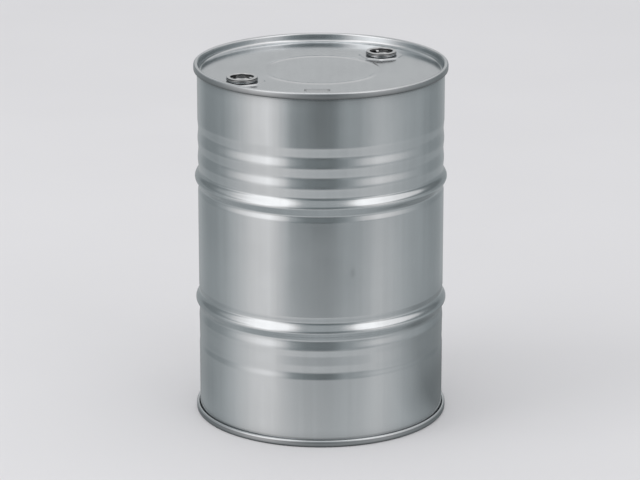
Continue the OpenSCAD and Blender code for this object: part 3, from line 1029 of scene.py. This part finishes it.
def world():
    """Plain even light, with the soft boxes and dark flags of a studio where metal mirrors it."""
    sky = bpy.data.worlds.new("studio")
    bpy.context.scene.world = sky
    sky.use_nodes = True
    n = Nodes(sky.node_tree)
    x, y, z = n.add("SeparateXYZ", {0: n.add("TexCoord").outputs["Generated"]}).outputs
    elevation = n.math("DEGREES", n.math("ARCSINE", z))
    level = STEEP_GLOW / GLOW_SCALE
    for start, end, glow in GLOW_BANDS:
        level = blend(n, elevation, start, end, level, by_direction(n, x, y, glow))
    level = blend(n, elevation, *ZENITH_BAND, level, ZENITH_GLOW / GLOW_SCALE)
    mirrored = n.add("Background", {"Color": cool(n, level), "Strength": GLOW_SCALE}).outputs[0]
    plain = n.add("Background", {"Color": PLAIN_LIGHT, "Strength": PLAIN_LEVEL}).outputs[0]
    glossy = n.add("LightPath").outputs["Is Glossy Ray"]
    mixed = n.add("MixShader", {0: glossy, 1: plain, 2: mirrored}).outputs[0]
    n.add("OutputWorld", {"Surface": mixed})


def floor_shade():
    """The drum's own soft shade on the floor, which only the metal's mirror image shows."""
    bpy.ops.mesh.primitive_circle_add(
        vertices=96, radius=SHADE_R, fill_type="NGON", location=(0, 0, SHADE_LIFT)
    )
    card = bpy.context.object
    card.name = "floor_shade"
    material, n = new_material("floor_shade")
    x, y, _ = n.add("SeparateXYZ", {0: n.add("TexCoord").outputs["Object"]}).outputs
    out = n.math("SUBTRACT", n.length(x, y), BODY_R)
    depth = SHADE_DEPTHS[0]
    for (start, end), beyond in zip(SHADE_BANDS, SHADE_DEPTHS[1:]):
        depth = blend(n, out, start, end, depth, beyond)
    side = n.math("MULTIPLY", by_direction(n, x, y, SHADE_SIDES), GLOW_SCALE)
    contact = blend(n, out, 0.0, CONTACT_WIDTH, 1.0, 0.0)
    shade = n.math("MAXIMUM", n.math("MULTIPLY", depth, side), contact)
    dim = n.add("Emission", {"Color": SHADE_TONE, "Strength": 1.0}).outputs[0]
    clear = n.add("BsdfTransparent").outputs[0]
    mixed = n.add("MixShader", {0: shade, 1: clear, 2: dim}).outputs[0]
    n.add("OutputMaterial", {"Surface": mixed})
    card.data.materials.append(material)
    card.visible_camera = False
    card.visible_diffuse = False
    card.visible_transmission = False
    card.visible_shadow = False


def floor():
    """Pale paper with a trace of unevenness, left out of what the metal mirrors."""
    bpy.ops.mesh.primitive_plane_add(size=80)
    plane = bpy.context.object
    plane.name = "floor"
    material, n = new_material("floor_paper")
    place = n.add("TexCoord").outputs["Object"]
    stops = [(0.3, times(FLOOR_TONE, 0.985)), (0.7, times(FLOOR_TONE))]
    color = n.ramp(n.noise(place, 1.5, 2), stops)
    inputs = {"Base Color": color, "Roughness": 0.9, "Specular IOR Level": 0.1}
    n.add("OutputMaterial", {"Surface": n.add("BsdfPrincipled", inputs).outputs[0]})
    plane.data.materials.append(material)
    plane.visible_glossy = False


LAMP_SIZE = 3.0
LAMP_AIM = Vector((0, 0, 0.4))


def lamp(name, place, power):
    """A soft square lamp that lights the floor and the rubber but isn't mirrored."""
    data = bpy.data.lights.new(name, "AREA")
    data.shape = "RECTANGLE"
    data.size = data.size_y = LAMP_SIZE
    data.energy = power
    lamp_object = bpy.data.objects.new(name, data)
    bpy.context.scene.collection.objects.link(lamp_object)
    lamp_object.location = place
    aim = LAMP_AIM - Vector(place)
    lamp_object.rotation_euler = aim.to_track_quat("-Z", "Y").to_euler()
    lamp_object.visible_camera = False
    lamp_object.visible_glossy = False


CAMERA_AT = (-0.002, -7.199, 2.609)
CAMERA_DOWN = 16.99
CAMERA_LENS = 180.2
CAMERA_SENSOR = 36


def camera():
    """The photograph's camera, as fitted to the chimes and hoops."""
    data = bpy.data.cameras.new("camera")
    data.sensor_width = CAMERA_SENSOR
    data.lens = CAMERA_LENS
    data.clip_end = 200
    eye = bpy.data.objects.new("camera", data)
    bpy.context.scene.collection.objects.link(eye)
    eye.location = CAMERA_AT
    eye.rotation_euler = (math.radians(90 - CAMERA_DOWN), 0, 0)
    bpy.context.scene.camera = eye


# ---- the drum ----


def closure_centre(side):
    """The axis of a closure, from the joint that turns its plug."""
    joint = next(j for j in frame["joints"] if j["name"] == side + "_plug_turn")
    return tuple(joint["pos_m"][:2])


FRONT, REAR = closure_centre("front"), closure_centre("rear")

HEAD_TONE = (0.72, 0.75, 0.765)
# Brightness of the closures' upright faces, painted as shade
CLOSURE_UPRIGHT_SHADE = 0.38

camera()
body_steel = steel("body_steel", (0.71, 0.745, 0.76), 0.17, rolled=True, mark=True, seam_shade=BODY_SEAM_SHADE)
head_steel = steel("head_steel", HEAD_TONE, 0.15, seam_shade=TOP_SEAM_SHADE, panel_shade=True)
foot_steel = steel("foot_steel", HEAD_TONE, 0.15, seam_shade=BOTTOM_SEAM_SHADE)
plug_steel = steel("plug_steel", (0.76, 0.775, 0.78), 0.15, upright_shade=CLOSURE_UPRIGHT_SHADE)
# The flange has the plug's plating, painted darker as shade below the plug's rim
flange_steel = steel("flange_steel", (0.50, 0.515, 0.52), 0.20, upright_shade=CLOSURE_UPRIGHT_SHADE)
seal_rubber = rubber("seal_rubber", (0.03, 0.03, 0.031))
seam_compound = rubber("seam_compound", (0.06, 0.065, 0.065))

body_shell(body_steel)
head("top_head_sheet", "top_head", [FRONT, REAR], True, False, head_steel)
head("bottom_head_sheet", "bottom_head", [], False, True, foot_steel)
for side, centre, lug_angle in (("front", FRONT, 25), ("rear", REAR, 115)):
    flange(side, centre, flange_steel)
    plug(side, centre, math.radians(lug_angle), plug_steel)
    plug_gasket(side, centre, seal_rubber)
    frame["nodes"][side + "_flange_gasket"].material_slots[0].material = seal_rubber
for end in ("top", "bottom"):
    frame["nodes"][end + "_seam_compound"].material_slots[0].material = seam_compound

world()
floor()
floor_shade()
lamp("key", (-3.8, -1.8, 4.6), 56)
lamp("fill", (3.0, -3.0, 4.6), 20)

bpy.context.scene.view_settings.view_transform = "Standard"
